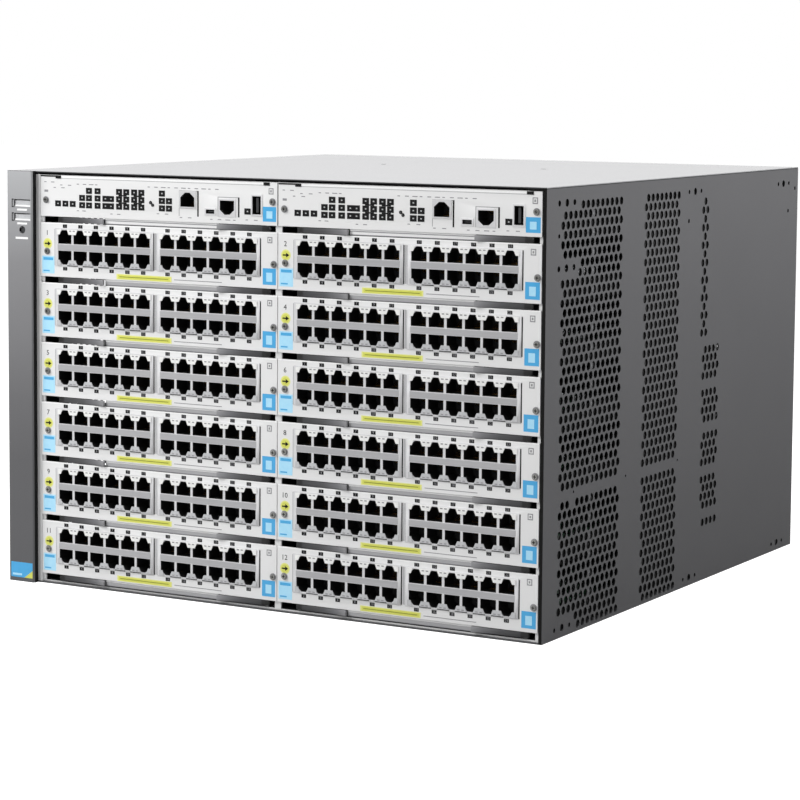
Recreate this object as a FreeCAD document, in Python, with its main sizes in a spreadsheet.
import FreeCAD, Part
import math
import os
import re
import Sketcher
from FreeCAD import Rotation, Vector

# Modular chassis switch, in mm.  The row frame has its origin at the bottom centre
# of the chassis, +X to the right of someone facing the ports, +Y to the rear, +Z up.
# Most pieces are drawn in chassis coordinates: across from the left edge, depth back
# from the port plane, height up from the underside.  Their bodies then shift them.

DOC = FreeCAD.newDocument("modular_chassis_switch")
SHEET = DOC.addObject("Spreadsheet::Sheet", "Sizes")

ROWS = 6            # line module rows
COLUMNS = 2
PORTS_PER_ROW = 6   # in one jack block
BAYS = 4            # power supplies, and fans above them
BLADES = 5
VENT_ROWS = 4

DRIVING_SIZES = {
    # folded sheet metal
    "sheet": 1.2,
    "cover_lip": 14.0,
    "hem_width": 2.5,
    "side_space": 3.2,
    # front strip
    "bezel_width": 23.4,
    "bezel_proud": 5.0,
    "bezel_chamfer": 1.0,
    "lens_width": 14.8,
    "lens_height": 5.8,
    "lens_sink": 1.0,
    "lens_drop": 21.0,
    "lens_pitch": 10.2,
    "lens_side": 6.8,
    "knob_radius": 2.75,
    "knob_drop": 43.6,
    "knob_depth": 3.0,
    # rows of slots
    "frame_flange": 4.1,
    "module_width": 206.6,
    "module_gap": 0.6,
    "module_depth": 262.0,
    "row_base": 5.3,
    "row_pitch": 44.45,
    "band_height": 4.6,
    "management_height": 32.6,
    "cover_gap": 1.5,
    # card cage
    "frame_wall": 1.2,
    "frame_set_back": 1.5,
    "flange_reach": 2.3,
    "rail_reach": 6.0,
    "rail_thickness": 1.2,
    "rail_start": 14.0,
    "rail_gap": 0.3,
    "clip_reach": 14.0,
    "window_edge": 7.0,
    "window_inset": 26.0,
    # one module
    "plate": 1.2,
    "ledge": 1.2,
    "ledge_depth": 12.0,
    "ledge_gap": 0.4,
    "card_inset": 3.0,
    "chin_set_back": 0.8,
    "chin_gap": 0.4,
    "board": 1.6,
    "board_lift": 5.2,
    "plug_width": 88.0,
    "plug_height": 12.0,
    "plug_depth": 10.0,
    "socket_gap": 0.4,
    "sink_width": 62.0,
    "sink_length": 70.0,
    "sink_back": 92.0,
    "sink_base": 4.0,
    "sink_height": 20.0,
    "fin_width": 6.0,
    # jack blocks
    "jack_first": 13.2,
    "jack_gap": 3.4,
    "jack_margin": 3.0,
    "jack_rim": 1.3,
    "jack_depth": 28.0,
    "jack_proud": 0.4,
    "port_width": 11.9,
    "port_pitch": 13.97,
    "port_shoulder": 6.6,
    "port_notch": 3.5,
    "port_neck": 3.8,
    "port_bar": 5.2,
    "port_depth": 14.0,
    # management module
    "console_left": 124.7,
    "console_floor": 13.2,
    "network_left": 158.5,
    "network_top": 18.6,
    "usb_left": 185.8,
    "usb_floor": 9.8,
    "usb_width": 6.9,
    "usb_height": 12.7,
    "usb_depth": 12.0,
    "micro_left": 146.6,
    "micro_floor": 9.0,
    "micro_width": 7.1,
    "micro_height": 2.8,
    "micro_depth": 5.0,
    # ejector levers
    "lever_arm": 40.0,
    "lever_hub": 3.5,
    "lever_height": 3.8,
    "lever_back": 3.2,
    "lever_tip": 2.2,
    "lever_grip": 12.0,
    "lever_flare": 2.0,
    "nose_length": 8.0,
    "nose_width": 3.0,
    "pivot_left": 17.5,
    "pivot_right": 10.0,
    "pivot_back": 3.6,
    # backplane and fabric
    "midplane_gap": 2.0,
    "midplane": 3.2,
    "midplane_edge": 4.0,
    "fabric_space": 32.8,
    "fabric_width": 176.0,
    "fabric_height": 120.0,
    "fabric_left": 34.0,
    "fabric_floor": 150.0,
    "fabric_spread": 200.0,
    "fabric_standoff": 6.0,
    "fabric_margin": 24.0,
    "fabric_base": 4.0,
    "fabric_fins": 16.0,
    "fabric_fin": 8.0,
    "fabric_plug": 18.0,
    # rear bays
    "bay_depth": 150.9,
    "bay_wall": 1.2,
    "bay_play": 0.6,
    "bay_foot": 0.4,
    "supply_width": 106.0,
    "supply_height": 116.0,
    "supply_depth": 144.0,
    "supply_lap": 0.9,
    "face_sheet": 1.2,
    "panel_inset": 4.0,
    "seat_gap": 0.3,
    "inlet_width": 28.0,
    "inlet_height": 20.4,
    "inlet_corner": 4.0,
    "inlet_depth": 17.0,
    "inlet_left": 12.0,
    "inlet_floor": 14.0,
    "handle_span": 62.0,
    "handle_reach": 20.0,
    "handle_bar": 6.0,
    "handle_right": 14.0,
    "handle_floor": 26.0,
    "fan_depth": 46.0,
    "fan_ledge": 4.0,
    "lug_strip": 14.0,
    "fan_wall": 1.5,
    "fan_opening": 51.0,
    "strut_width": 5.0,
    "strut_depth": 4.0,
    "boss_radius": 17.0,
    "boss_depth": 10.0,
    "axle_radius": 2.0,
    "axle_play": 0.05,
    "axle_reach": 14.0,
    "hub_radius": 19.0,
    "hub_depth": 18.0,
    "hub_gap": 0.8,
    "blade_tip": 47.0,
    "blade_root": 3.0,
    "blade_run": 15.0,
    "blade_rise": 13.0,
    "blade_thickness": 2.4,
    # rack and ground holes
    "bracket_hole": 2.1,
    "bracket_front": 19.0,
    "bracket_spacing": 23.0,
    "bracket_low": 252.0,
    "bracket_rise": 44.0,
    "lug_hole": 2.6,
    "lug_spacing": 15.9,
    # side vents
    "vent_across": 18.0,
    "vent_step": 32.0,
    "vent_rise": 72.0,
    "vent_low": 28.0,
    "front_vents": 66.0,
    "middle_vents": 170.0,
}

# Lengths that follow from the driving sizes, as expressions.
DERIVED = {
    "chassis_width":
        "bezel_width + frame_flange + 2 * module_width + module_gap + side_space",
    "chassis_height":
        f"row_base + {ROWS} * row_pitch + management_height + cover_gap + sheet",
    "cage_depth": "module_depth + midplane_gap",
    "bay_front": "cage_depth + midplane + fabric_space",
    "chassis_depth": "bay_front + bay_depth",
    "wall_top": "chassis_height - sheet",
    "cage_top": "wall_top - sheet",
    "column_left": "bezel_width + frame_flange",
    "column_pitch": "module_width + module_gap",
    "last_column_right": "column_left + column_pitch + module_width",
    "half_band": "band_height / 2",
    "ledge_floor": "lever_height / 2 + ledge_gap",
    "board_floor": "ledge_floor + ledge + board_lift",
    "board_top": "board_floor + board",
    "jack_width": f"{PORTS_PER_ROW - 1} * port_pitch + port_width + 2 * jack_margin",
    "jack_height": "port_bar + 2 * (port_shoulder + port_notch + jack_rim)",
    "jack_middle": "board_top + jack_height / 2",
    "wall_middle": "column_left + column_pitch - module_gap / 2",
    "frame_left": "column_left - seat_gap - frame_wall",
    "frame_right": "last_column_right + seat_gap + frame_wall",
    "bay_pitch": "supply_width + 2 * bay_play + bay_wall",
    "bays_width": f"{BAYS} * bay_pitch + bay_wall",
    "bays_left": "(chassis_width - bays_width) / 2",
    "shelf_floor": "sheet + bay_foot + supply_height + bay_play",
    "shelf_top": "shelf_floor + bay_wall",
    "face_back": "chassis_depth - panel_inset + sheet + seat_gap",
    "fan_floor": "shelf_top + fan_ledge",
    "fan_top": "wall_top - sheet - lug_strip",
    "fan_middle": "(fan_floor + fan_top) / 2",
    "fan_left": "bays_left + bay_wall + bay_play",
    "fans_width": f"{BAYS} * bay_pitch - bay_wall - 2 * bay_play",
    "fan_front": "face_back - fan_depth",
    "boss_front": "face_back - strut_depth - boss_depth",
}


def fill_sheet():
    for line, (alias, value) in enumerate(DRIVING_SIZES.items(), start=1):
        SHEET.set(f"A{line}", alias)
        SHEET.set(f"B{line}", str(value))
        SHEET.setAlias(f"B{line}", alias)
    DOC.recompute()


WORD = re.compile(r"\b[a-z_]+\b")
FUNCTIONS = ("cos", "sin", "deg")


def formula(text):
    """The expression with each derived length written out and each size read from the sheet."""
    def swap(match):
        word = match.group(0)
        if word in FUNCTIONS:
            return word
        if word in DERIVED:
            return "(" + formula(DERIVED[word]) + ")"
        return "Sizes." + word
    return WORD.sub(swap, str(text))


def bind(thing, **lengths):
    for name, text in lengths.items():
        thing.setExpression(name.replace("__", "."), formula(text))


def place(piece, across="-chassis_width / 2", back="-chassis_depth / 2", up="0"):
    """Binds a piece's place.  The defaults turn chassis coordinates into the row frame."""
    bind(piece, Placement__Base__x=across, Placement__Base__y=back, Placement__Base__z=up)
    return piece


def body(label):
    piece = DOC.addObject("PartDesign::Body", label)
    piece.Label = label
    return piece


# Each view: the origin plane, and how a distance into the piece maps to the plane's normal.
VIEWS = {"front": ("XZ_Plane", -1), "side": ("YZ_Plane", 1), "top": ("XY_Plane", 1)}


def sketch(piece, view, name, away="0"):
    """A sketch on one of the body's origin planes, moved back, across or up by a length."""
    role, sense = VIEWS[view]
    drawn = piece.newObject("Sketcher::SketchObject", piece.Label + name)
    plane = next(item for item in piece.Origin.OriginFeatures if item.Role == role)
    drawn.AttachmentSupport = [(plane, "")]
    drawn.MapMode = "FlatFace"
    bind(drawn, AttachmentOffset__Base__z=f"{sense} * ({away})")
    return drawn


def dimension(drawn, kind, geometry, point, text):
    index = drawn.addConstraint(Sketcher.Constraint(kind, -1, 1, geometry, point, 1.0))
    drawn.setExpression(f"Constraints[{index}]", formula(text))


def outline(drawn, corners):
    """A closed polygon whose corners are pairs of expressions measured from the origin."""
    first = drawn.GeometryCount
    count = len(corners)
    turn = 2 * math.pi / count
    points = [Vector(math.cos(turn * step), math.sin(turn * step), 0) for step in range(count)]
    for step in range(count):
        drawn.addGeometry(Part.LineSegment(points[step], points[(step + 1) % count]), False)
    for step in range(count):
        follower = first + (step + 1) % count
        drawn.addConstraint(Sketcher.Constraint("Coincident", first + step, 2, follower, 1))
    for step, (x, y) in enumerate(corners):
        dimension(drawn, "DistanceX", first + step, 1, x)
        dimension(drawn, "DistanceY", first + step, 1, y)


def rectangle(drawn, left, low, right, high):
    outline(drawn, [(left, low), (right, low), (right, high), (left, high)])


def circle(drawn, x, y, radius):
    number = drawn.addGeometry(Part.Circle(Vector(0, 0, 0), Vector(0, 0, 1), 1.0), False)
    dimension(drawn, "DistanceX", number, 3, x)
    dimension(drawn, "DistanceY", number, 3, y)
    index = drawn.addConstraint(Sketcher.Constraint("Radius", number, 1.0))
    drawn.setExpression(f"Constraints[{index}]", formula(radius))


def ring(drawn, x, y, across, sides):
    """A regular polygon of that width across its flats, with a flat at the bottom."""
    half_step = 180.0 / sides
    radius = f"({across}) / 2 / cos({half_step} deg)"
    corners = []
    for step in range(sides):
        angle = 2 * half_step * step - 90 + half_step
        corners.append((f"({x}) + {radius} * cos({angle} deg)", f"({y}) + {radius} * sin({angle} deg)"))
    outline(drawn, corners)


def pad(piece, drawn, length, rearward=False):
    """Grows a sketch along its normal: forward, to the right or up, unless it is rearward."""
    grown = piece.newObject("PartDesign::Pad", drawn.Name + "Pad")
    grown.Profile = drawn
    bind(grown, Length=length)
    grown.Reversed = rearward
    return grown


def pocket(piece, drawn, depth=None, along_normal=False):
    """Cuts against the sketch's normal, right through if no depth is given."""
    DOC.recompute()
    before = piece.Shape.Volume
    cut = piece.newObject("PartDesign::Pocket", drawn.Name + "Pocket")
    cut.Profile = drawn
    cut.Reversed = along_normal
    if depth is None:
        cut.Type = "ThroughAll"
    else:
        bind(cut, Length=depth)
    DOC.recompute()
    if piece.Shape.Volume >= before:
        raise RuntimeError(f"{cut.Name} took nothing from {piece.Label}")
    return cut


def repeat(piece, feature, drawn, *runs):
    """Repeats a feature along its sketch's axes.  Each run is an axis, a step and a count."""
    pattern = piece.newObject("PartDesign::MultiTransform", drawn.Name + "Repeats")
    pattern.Originals = [feature]
    steps = []
    for number, (axis, step, count) in enumerate(runs):
        run = DOC.addObject("PartDesign::LinearPattern", f"{drawn.Name}Run{number}")
        run.Direction = (drawn, [axis])
        run.Occurrences = count
        bind(run, Length=f"{count - 1} * ({step})")
        steps.append(run)
    pattern.Transformations = steps
    piece.Tip = pattern
    DOC.recompute()


def upright_edges(shape, wanted):
    """Names of the vertical edges whose middle is wanted."""
    names = []
    for number, edge in enumerate(shape.Edges, start=1):
        upright = abs(edge.tangentAt(edge.FirstParameter).z) > 0.99
        if upright and wanted(edge.CenterOfMass):
            names.append(f"Edge{number}")
    return names


def copy_of(source, label):
    """Another body with the form of the first one."""
    piece = body(label)
    held = DOC.addObject("PartDesign::FeatureBase", label + "Form")
    held.BaseFeature = source
    piece.Group = [held]
    piece.Tip = held
    return piece


def comb(left, floor, width, base, height, tooth, teeth):
    """Corners of a bar with upright teeth, evenly spread from end to end."""
    corners = [(left, floor), (f"({left}) + ({width})", floor)]
    for number in reversed(range(teeth)):
        start = f"({left}) + {number} * (({width}) - ({tooth})) / {teeth - 1}"
        top = f"({floor}) + ({height})"
        corners.append((f"{start} + ({tooth})", top))
        corners.append((start, top))
        if number:
            before = f"({left}) + {number - 1} * (({width}) - ({tooth})) / {teeth - 1} + ({tooth})"
            corners.append((start, f"({floor}) + ({base})"))
            corners.append((before, f"({floor}) + ({base})"))
    return corners


# ---------------------------------------------------------------- chassis

def chassis_shell():
    """One folded sheet: the floor, both sides and the lips that carry the cover."""
    shell = body("chassis_shell")
    section = sketch(shell, "front", "Section")
    inner_right = "chassis_width - sheet"
    lip_floor = "wall_top - sheet"
    outline(section, [
        ("0", "0"), ("chassis_width", "0"), ("chassis_width", "wall_top"),
        ("chassis_width - cover_lip", "wall_top"), ("chassis_width - cover_lip", lip_floor),
        (inner_right, lip_floor), (inner_right, "sheet"), ("sheet", "sheet"),
        ("sheet", lip_floor), ("cover_lip", lip_floor), ("cover_lip", "wall_top"), ("0", "wall_top"),
    ])
    pad(shell, section, "chassis_depth", rearward=True)

    hem = sketch(shell, "front", "Hem")
    rectangle(hem, "chassis_width - hem_width", "0", "chassis_width", lip_floor)
    pad(shell, hem, "sheet", rearward=True)

    for name, first, columns in (("Front", "front_vents", 2), ("Middle", "middle_vents", 2)):
        vent = sketch(shell, "side", name + "Vent")
        ring(vent, first, "vent_low", "vent_across", 4)
        hole = pocket(shell, vent, along_normal=True)
        repeat(shell, hole, vent, ("H_Axis", "vent_step", columns), ("V_Axis", "vent_rise", VENT_ROWS))

    brackets = sketch(shell, "side", "Brackets")
    for back in ("bracket_front", "bracket_front + bracket_spacing"):
        for up in ("bracket_low", "bracket_low + bracket_rise"):
            circle(brackets, back, up, "bracket_hole")
    pocket(shell, brackets, along_normal=True)
    return place(shell)


def top_cover():
    cover = body("top_cover")
    face = sketch(cover, "front", "Face")
    rectangle(face, "0", "wall_top", "chassis_width", "chassis_height")
    pad(cover, face, "chassis_depth", rearward=True)
    return place(cover)


def bezel_strip():
    """The moulded strip at the left, with two lens recesses and a round recess below them."""
    strip = body("bezel_strip")
    face = sketch(strip, "front", "Face")
    rectangle(face, "0", "0", "bezel_width", "chassis_height")
    block = pad(strip, face, "bezel_proud")
    DOC.recompute()

    front = block.Shape.BoundBox.YMin + 0.01
    edges = upright_edges(block.Shape, lambda middle: middle.y < front)
    chamfer = strip.newObject("PartDesign::Chamfer", "BezelEdges")
    chamfer.Base = (block, edges)
    bind(chamfer, Size="bezel_chamfer")
    DOC.recompute()

    lens = sketch(strip, "front", "Lens", "-bezel_proud")
    for drop in ("lens_drop", "lens_drop + lens_pitch"):
        high = f"chassis_height - ({drop})"
        rectangle(lens, "lens_side", f"{high} - lens_height", "lens_side + lens_width", high)
    pocket(strip, lens, "lens_sink")

    knob = sketch(strip, "front", "Recess", "-bezel_proud")
    circle(knob, "lens_side + lens_width / 2", "chassis_height - knob_drop", "knob_radius")
    pocket(strip, knob, "knob_depth")
    return place(strip)


def slot_frame():
    """The card cage: three walls from the floor to the cover lips, with rails for every tray."""
    frame = body("slot_frame")
    section = sketch(frame, "front", "Section", "frame_set_back")
    roof = "cage_top - frame_wall"
    floor = "sheet + frame_wall"
    rectangle(section, "frame_left", "sheet", "frame_right", "cage_top")
    rectangle(section, "frame_left + frame_wall", floor, "wall_middle - frame_wall / 2", roof)
    rectangle(section, "wall_middle + frame_wall / 2", floor, "frame_right - frame_wall", roof)
    pad(frame, section, "cage_depth - frame_set_back", rearward=True)

    clip = sketch(frame, "front", "Clip")
    rectangle(clip, "bezel_width - clip_reach", "sheet", "frame_left + frame_wall", "cage_top")
    pad(frame, clip, "frame_set_back", rearward=True)

    stops = sketch(frame, "front", "Stops", "frame_set_back")
    rectangle(stops, "frame_left", "sheet", "column_left + flange_reach", "cage_top")
    rectangle(stops, "wall_middle - module_gap / 2 - flange_reach", "sheet",
              "wall_middle + module_gap / 2 + flange_reach", "cage_top")
    rectangle(stops, "last_column_right - flange_reach", "sheet", "frame_right", "cage_top")
    pad(frame, stops, "frame_wall", rearward=True)

    rails = sketch(frame, "front", "Rails", "rail_start")
    top = "row_base + board_floor - rail_gap"
    bottom = f"{top} - rail_thickness"
    rectangle(rails, "frame_left", bottom, "column_left + rail_reach", top)
    rectangle(rails, "wall_middle - rail_reach", bottom, "wall_middle + rail_reach", top)
    rectangle(rails, "last_column_right - rail_reach", bottom, "frame_right", top)
    first = pad(frame, rails, "cage_depth - rail_start", rearward=True)
    repeat(frame, first, rails, ("V_Axis", "row_pitch", ROWS + 1))

    window = sketch(frame, "side", "Window")
    low = "row_base + board_top + window_edge"
    high = "row_base + row_pitch + board_floor - rail_gap - rail_thickness - window_edge"
    rectangle(window, "window_inset", low, "cage_depth - window_inset", high)
    opening = pocket(frame, window, along_normal=True)
    repeat(frame, opening, window, ("V_Axis", "row_pitch", ROWS))
    return place(frame)


# ---------------------------------------------------------------- backplane and fabric

def midplane_board():
    """The backplane, with a socket behind every slot."""
    board = body("midplane_board")
    face = sketch(board, "front", "Face", "cage_depth")
    rectangle(face, "frame_left", "sheet + midplane_edge", "frame_right", "wall_top - midplane_edge")
    pad(board, face, "midplane", rearward=True)

    sockets = sketch(board, "front", "Sockets", "cage_depth")
    low = "row_base + board_top"
    for column in range(COLUMNS):
        left = f"column_left + {column} * column_pitch + (module_width - plug_width) / 2"
        rectangle(sockets, left, low, f"{left} + plug_width", f"{low} + plug_height")
    first = pad(board, sockets, "midplane_gap - socket_gap")
    repeat(board, first, sockets, ("V_Axis", "row_pitch", ROWS + 1))
    return place(board)


def fabric_module():
    """A switching board that plugs flat onto the back of the backplane, with its cooling fins."""
    fabric = body("fabric_module_1")
    top = "fabric_floor + fabric_height"
    right = "fabric_left + fabric_width"
    back = "cage_depth + midplane"
    plugs = sketch(fabric, "front", "Plugs", back)
    for left in ("fabric_left", f"{right} - fabric_plug"):
        rectangle(plugs, left, "fabric_floor", f"{left} + fabric_plug", top)
    pad(fabric, plugs, "fabric_standoff", rearward=True)

    board = sketch(fabric, "front", "Board", f"{back} + fabric_standoff")
    rectangle(board, "fabric_left", "fabric_floor", right, top)
    pad(fabric, board, "board", rearward=True)

    fins = sketch(fabric, "top", "Fins", "fabric_floor + fabric_margin")
    outline(fins, comb("fabric_left + fabric_margin", f"{back} + fabric_standoff + board",
                       "fabric_width - 2 * fabric_margin", "fabric_base", "fabric_fins",
                       "fabric_fin", 5))
    pad(fabric, fins, "fabric_height - 2 * fabric_margin")
    return place(fabric)


# ---------------------------------------------------------------- modules

def port(drawn, middle, seat, sense):
    """A jack's mouth: a wide mouth for the plug and a narrow notch for its latch.

    The seat is the flat side of the mouth, and sense is 1 if the notch is above it.
    """
    side = "port_width / 2"
    neck = "port_neck / 2"
    shoulder = f"({seat}) + {sense} * port_shoulder"
    end = f"({seat}) + {sense} * (port_shoulder + port_notch)"
    outline(drawn, [
        (f"{middle} - {side}", seat), (f"{middle} + {side}", seat),
        (f"{middle} + {side}", shoulder), (f"{middle} + {neck}", end),
        (f"{middle} - {neck}", end), (f"{middle} - {side}", shoulder),
    ])


def module_carrier(label, plate_top):
    """What every module has: faceplate, chin, lever ledge, board, heat sink and plug.

    Drawn from the slot's left edge, the port plane and the line between this slot and
    the one below.  The board's edges ride on the cage's rails.
    """
    module = body(label)
    face = sketch(module, "front", "Face")
    rectangle(face, "0", "half_band", "module_width", plate_top)
    pad(module, face, "plate", rearward=True)

    chin = sketch(module, "front", "Chin", "chin_set_back")
    rectangle(chin, "pivot_left + lever_arm + chin_gap", "chin_gap - half_band",
              "module_width - pivot_right - lever_arm - chin_gap", "ledge_floor + ledge")
    pad(module, chin, "plate", rearward=True)

    ledge = sketch(module, "front", "Ledge", "chin_set_back")
    rectangle(ledge, "card_inset", "ledge_floor", "module_width - card_inset", "ledge_floor + ledge")
    pad(module, ledge, "ledge_depth", rearward=True)

    board = sketch(module, "front", "Board", "plate")
    rectangle(board, "card_inset", "board_floor", "module_width - card_inset", "board_top")
    pad(module, board, "module_depth - plug_depth - plate", rearward=True)

    sink = sketch(module, "front", "Sink", "sink_back")
    outline(sink, comb("(module_width - sink_width) / 2", "board_top", "sink_width",
                       "sink_base", "sink_height", "fin_width", 3))
    pad(module, sink, "sink_length", rearward=True)

    plug = sketch(module, "front", "Plug", "module_depth - 2 * plug_depth")
    left = "(module_width - plug_width) / 2"
    rectangle(plug, left, "board_top", f"{left} + plug_width", "board_top + plug_height")
    pad(module, plug, "2 * plug_depth", rearward=True)
    return module


def line_module(label):
    """Two jack blocks of two rows of ports on the common carrier."""
    module = module_carrier(label, "row_pitch - half_band")
    blocks = sketch(module, "front", "Blocks", "-jack_proud")
    for left in ("jack_first", "jack_first + jack_width + jack_gap"):
        rectangle(blocks, left, "board_top", f"{left} + jack_width", "board_top + jack_height")
    pad(module, blocks, "jack_proud + jack_depth", rearward=True)

    ports = sketch(module, "front", "Ports", "-jack_proud")
    middle = "jack_first + jack_margin + port_width / 2"
    port(ports, middle, "jack_middle + port_bar / 2", 1)
    port(ports, middle, "jack_middle - port_bar / 2", -1)
    first = pocket(module, ports, "port_depth")
    repeat(module, first, ports, ("H_Axis", "port_pitch", PORTS_PER_ROW),
           ("H_Axis", "jack_width + jack_gap", 2))
    return module


def management_module(label):
    """Console, network and drive sockets on the common carrier."""
    module = module_carrier(label, "management_height")
    blocks = sketch(module, "front", "Blocks", "-jack_proud")
    sockets = (
        ("console_left", "console_floor", "port_width", "port_shoulder + port_notch"),
        ("network_left", "network_top - port_shoulder - port_notch", "port_width",
         "port_shoulder + port_notch"),
        ("usb_left", "usb_floor", "usb_width", "usb_height"),
        ("micro_left", "micro_floor", "micro_width", "micro_height"),
    )
    for left, low, width, height in sockets:
        rectangle(blocks, f"{left} - jack_rim", f"{low} - jack_rim",
                  f"{left} + {width} + jack_rim", f"{low} + {height} + jack_rim")
    pad(module, blocks, "jack_proud + jack_depth", rearward=True)

    jacks = sketch(module, "front", "Jacks", "-jack_proud")
    port(jacks, "console_left + port_width / 2", "console_floor", 1)
    port(jacks, "network_left + port_width / 2", "network_top", -1)
    pocket(module, jacks, "port_depth")

    for name, socket in (("Usb", "usb"), ("Micro", "micro")):
        slot = sketch(module, "front", name, "-jack_proud")
        rectangle(slot, f"{socket}_left", f"{socket}_floor", f"{socket}_left + {socket}_width",
                  f"{socket}_floor + {socket}_height")
        pocket(module, slot, f"{socket}_depth")
    return module


def lever(label, sense):
    """An ejector lever about its pivot.  Its arm runs to the right if sense is 1."""
    piece = body(label)
    arm = sketch(piece, "top", "Arm", "-lever_height / 2")
    bend = "lever_arm - lever_grip"
    front = "-lever_hub"
    outline(arm, [
        (f"{-sense} * lever_hub", front),
        (f"{sense} * ({bend})", front),
        (f"{sense} * lever_arm", f"{front} - lever_flare"),
        (f"{sense} * lever_arm", f"{front} - lever_flare + lever_tip"),
        (f"{sense} * ({bend})", f"{front} + lever_tip"),
        (f"{sense} * nose_width", "lever_back"),
        (f"{sense} * nose_width", "nose_length"),
        (f"{-sense} * lever_hub", "nose_length"),
    ])
    plate = pad(piece, arm, "lever_height")
    DOC.recompute()

    corner = Vector(-sense * SHEET.lever_hub, -SHEET.lever_hub, 0)
    edges = upright_edges(plate.Shape, lambda middle: middle.distanceToPoint(corner) < 0.01)
    round_end = piece.newObject("PartDesign::Fillet", label + "RoundEnd")
    round_end.Base = (plate, edges)
    bind(round_end, Radius="lever_hub")
    return piece


def in_slot(piece, column, row, across="0", back="0"):
    """Moves a piece drawn in slot coordinates to its slot."""
    return place(
        piece,
        f"column_left + {column} * column_pitch + ({across}) - chassis_width / 2",
        f"({back}) - chassis_depth / 2",
        f"row_base + {row} * row_pitch",
    )


def slots():
    """Name, column and row of every slot.  Letters run across and down from the top left."""
    found = []
    for number, letter in enumerate("abcdefghijkl"):
        found.append((f"line_module_{letter}", letter, number % COLUMNS, ROWS - 1 - number // COLUMNS))
    for column in range(COLUMNS):
        found.append((f"management_module_{column + 1}", f"m{column + 1}", column, ROWS))
    return found


def modules_and_levers():
    masters = {}
    pieces = []
    for label, letter, column, row in slots():
        maker = management_module if row == ROWS else line_module
        if maker in masters:
            module = copy_of(masters[maker], label)
        else:
            module = masters[maker] = maker(label)
        pieces.append(in_slot(module, column, row))
        sides = (("left", 1, "pivot_left"), ("right", -1, "module_width - pivot_right"))
        for side, sense, across in sides:
            name = f"lever_{letter}_{side}"
            if side in masters:
                arm = copy_of(masters[side], name)
            else:
                arm = masters[side] = lever(name, sense)
            pieces.append(in_slot(arm, column, row, across, "pivot_back"))
    return pieces


# ---------------------------------------------------------------- rear

def rear_panel():
    """The sheet around the power supplies and the fan tray, with the ground lug's holes."""
    panel = body("rear_panel")
    face = sketch(panel, "front", "Face", "chassis_depth - panel_inset")
    rectangle(face, "sheet", "sheet", "chassis_width - sheet", "wall_top - sheet")
    pad(panel, face, "sheet", rearward=True)

    windows = sketch(panel, "front", "Windows", "chassis_depth - panel_inset")
    rectangle(windows, "bays_left + bay_wall", "0",
              "bays_left + bays_width - bay_wall", "shelf_floor")
    rectangle(windows, "fan_left - bay_play", "fan_floor - bay_play",
              "fan_left + fans_width + bay_play", "fan_top + bay_play")
    pocket(panel, windows)

    lugs = sketch(panel, "front", "Lugs", "chassis_depth - panel_inset")
    for sense in (-1, 1):
        circle(lugs, f"chassis_width / 2 + {sense} * lug_spacing / 2",
               "wall_top - sheet - lug_strip / 2 + bay_play / 2", "lug_hole")
    pocket(panel, lugs)
    return place(panel)


def power_bay():
    """The shelf over the power supplies and the walls between them, one welded piece."""
    bay = body("power_bay")
    section = sketch(bay, "front", "Section", "bay_front + seat_gap")
    corners = [("bays_left", "shelf_top")]
    for number in range(BAYS + 1):
        left = f"bays_left + {number} * bay_pitch"
        if number:
            corners.append((left, "shelf_floor"))
        corners.append((left, "sheet"))
        corners.append((f"{left} + bay_wall", "sheet"))
        if number < BAYS:
            corners.append((f"{left} + bay_wall", "shelf_floor"))
    corners.append(("bays_left + bays_width", "shelf_top"))
    outline(section, corners)
    pad(bay, section, "bay_depth - panel_inset - seat_gap", rearward=True)
    return place(bay)


def handle(piece, name, left, floor, width, height):
    """A U-shaped pull on the rear face, upright if it is taller than wide."""
    upright = height == "handle_span"
    far = (left, f"{floor} + {height} - handle_bar") if upright else (f"{left} + {width} - handle_bar", floor)
    posts = sketch(piece, "front", name + "Posts", "face_back")
    for x, z in ((left, floor), far):
        rectangle(posts, x, z, f"{x} + handle_bar", f"{z} + handle_bar")
    pad(piece, posts, "face_sheet + handle_reach", rearward=True)
    bar = sketch(piece, "front", name + "Bar", "face_back + face_sheet + handle_reach - handle_bar")
    rectangle(bar, left, floor, f"{left} + {width}", f"{floor} + {height}")
    pad(piece, bar, "handle_bar", rearward=True)


def power_supply():
    """A closed power supply with its mains inlet and pull, drawn in the left bay."""
    supply = body("power_supply_1")
    left = "bays_left + bay_wall + bay_play"
    floor = "sheet + bay_foot"
    case = sketch(supply, "front", "Case", "face_back - supply_depth")
    rectangle(case, left, floor, f"{left} + supply_width", f"{floor} + supply_height")
    pad(supply, case, "supply_depth", rearward=True)

    face = sketch(supply, "front", "Face", "face_back")
    rectangle(face, f"{left} - supply_lap", floor, f"{left} + supply_width + supply_lap",
              f"{floor} + supply_height + supply_lap")
    pad(supply, face, "face_sheet", rearward=True)

    inlet = sketch(supply, "front", "Inlet", "face_back + face_sheet")
    start = f"{left} + inlet_left"
    end = f"{start} + inlet_width"
    low = f"{floor} + inlet_floor"
    high = f"{low} + inlet_height"
    outline(inlet, [
        (start, low), (end, low), (end, f"{high} - inlet_corner"), (f"{end} - inlet_corner", high),
        (f"{start} + inlet_corner", high), (start, f"{high} - inlet_corner"),
    ])
    pocket(supply, inlet, "inlet_depth", along_normal=True)
    handle(supply, "Pull", f"{left} + supply_width - handle_right - handle_bar",
           f"{floor} + handle_floor", "handle_bar", "handle_span")
    return place(supply)


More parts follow.
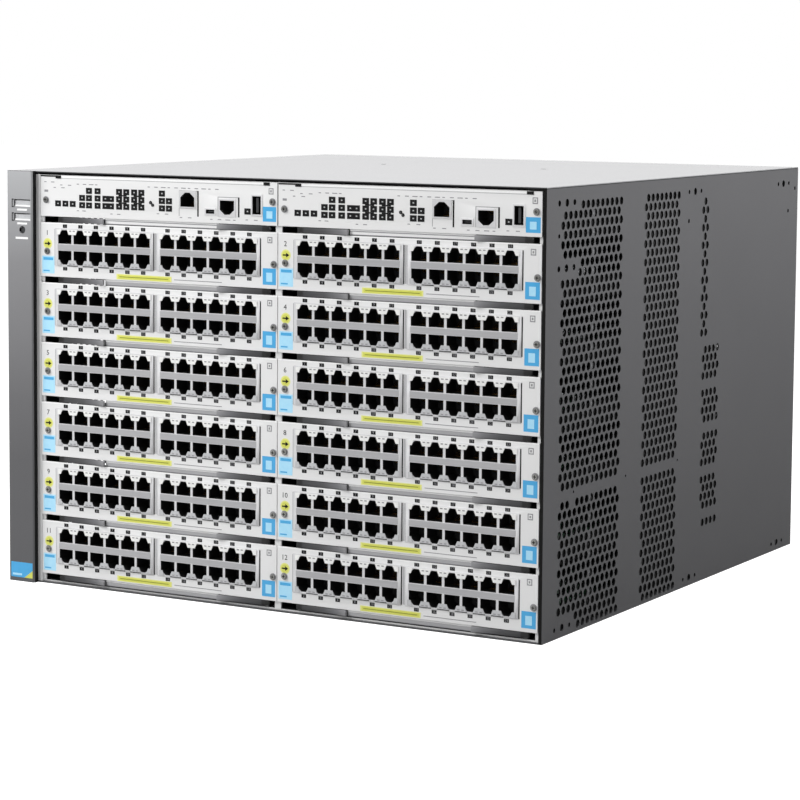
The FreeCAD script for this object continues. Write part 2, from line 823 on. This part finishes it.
def fan_tray():
    """A tray open towards the slots, with a round mouth, struts and a fixed axle for each fan."""
    tray = body("fan_tray")
    right = "fan_left + fans_width"
    first_fan = "bays_left + bay_wall / 2 + bay_pitch / 2"
    case = sketch(tray, "front", "Case", "fan_front")
    rectangle(case, "fan_left", "fan_floor", right, "fan_top")
    rectangle(case, "fan_left + fan_wall", "fan_floor + fan_wall",
              f"{right} - fan_wall", "fan_top - fan_wall")
    pad(tray, case, "fan_depth", rearward=True)

    face = sketch(tray, "front", "Face", "face_back")
    rectangle(face, "fan_left - supply_lap", "fan_floor - supply_lap",
              f"{right} + supply_lap", "fan_top + supply_lap")
    pad(tray, face, "face_sheet", rearward=True)

    mouth = sketch(tray, "front", "Mouth", "face_back")
    ring(mouth, first_fan, "fan_middle", "2 * fan_opening", 12)
    opening = pocket(tray, mouth, "face_sheet")
    repeat(tray, opening, mouth, ("H_Axis", "bay_pitch", BAYS))

    struts = sketch(tray, "front", "Struts", "face_back - strut_depth")
    rectangle(struts, f"{first_fan} - strut_width / 2", "fan_floor + fan_wall",
              f"{first_fan} + strut_width / 2", "fan_top - fan_wall")
    upright = pad(tray, struts, "strut_depth", rearward=True)
    repeat(tray, upright, struts, ("H_Axis", "bay_pitch", BAYS))

    boss = sketch(tray, "front", "Boss", "boss_front")
    ring(boss, first_fan, "fan_middle", "2 * boss_radius", 8)
    motor = pad(tray, boss, "boss_depth", rearward=True)
    repeat(tray, motor, boss, ("H_Axis", "bay_pitch", BAYS))

    axle = sketch(tray, "front", "Axle", "boss_front")
    circle(axle, first_fan, "fan_middle", "axle_radius")
    pin = pad(tray, axle, "axle_reach")
    repeat(tray, pin, axle, ("H_Axis", "bay_pitch", BAYS))

    handle(tray, "Pull", "chassis_width / 2 - handle_span / 2", "fan_top - 2 * handle_bar",
           "handle_span", "handle_bar")
    return place(tray)


def fan_rotor():
    """Hub and blades about an upright axis, turned to face the slots when it is placed."""
    rotor = body("fan_rotor_1")
    hub = sketch(rotor, "top", "Hub")
    ring(hub, "0", "0", "2 * hub_radius", 12)
    pad(rotor, hub, "hub_depth")

    blade = sketch(rotor, "side", "Blade", "hub_radius - blade_root")
    low = "(hub_depth - blade_rise) / 2"
    high = "(hub_depth + blade_rise) / 2"
    outline(blade, [
        ("-blade_run / 2", low), ("blade_thickness - blade_run / 2", low),
        ("blade_run / 2", high), ("blade_run / 2 - blade_thickness", high),
    ])
    first = pad(rotor, blade, "blade_tip - hub_radius + blade_root")
    DOC.recompute()
    blades = rotor.newObject("PartDesign::PolarPattern", "RotorBlades")
    blades.Originals = [first]
    blades.Axis = (hub, ["N_Axis"])
    blades.Angle = 360
    blades.Occurrences = BLADES
    rotor.Tip = blades

    bore = sketch(rotor, "top", "Bore")
    circle(bore, "0", "0", "axle_radius + axle_play")
    pocket(rotor, bore, along_normal=True)
    return rotor


def rear_pieces():
    pieces = [rear_panel(), power_bay(), fan_tray()]
    supply = power_supply()
    rotor = fan_rotor()
    for bay in range(BAYS):
        unit = supply if bay == 0 else place(
            copy_of(supply, f"power_supply_{bay + 1}"), f"{bay} * bay_pitch - chassis_width / 2")
        fan = rotor if bay == 0 else copy_of(rotor, f"fan_rotor_{bay + 1}")
        fan.Placement.Rotation = Rotation(Vector(1, 0, 0), 90)
        place(fan, f"bays_left + bay_wall / 2 + {2 * bay + 1} * bay_pitch / 2 - chassis_width / 2",
              "boss_front - hub_gap - chassis_depth / 2", "fan_middle")
        pieces += [unit, fan]
    return pieces


def check_and_export(pieces):
    DOC.recompute()
    for item in DOC.Objects:
        if "Invalid" in item.State or "Error" in item.State:
            raise RuntimeError(f"{item.Label} failed: {item.State}")
    for piece in pieces:
        if piece.Shape.isNull() or not piece.Shape.isValid():
            raise RuntimeError(f"{piece.Label} has no valid shape")
    os.makedirs("parts", exist_ok=True)
    for piece in pieces:
        piece.Shape.exportStep(f"parts/{piece.Label}.step")


def main():
    fill_sheet()
    pieces = [chassis_shell(), top_cover(), bezel_strip(), slot_frame(), midplane_board()]
    fabric = fabric_module()
    pieces += [fabric, place(copy_of(fabric, "fabric_module_2"), "fabric_spread - chassis_width / 2")]
    pieces += modules_and_levers()
    pieces += rear_pieces()
    check_and_export(pieces)


main()
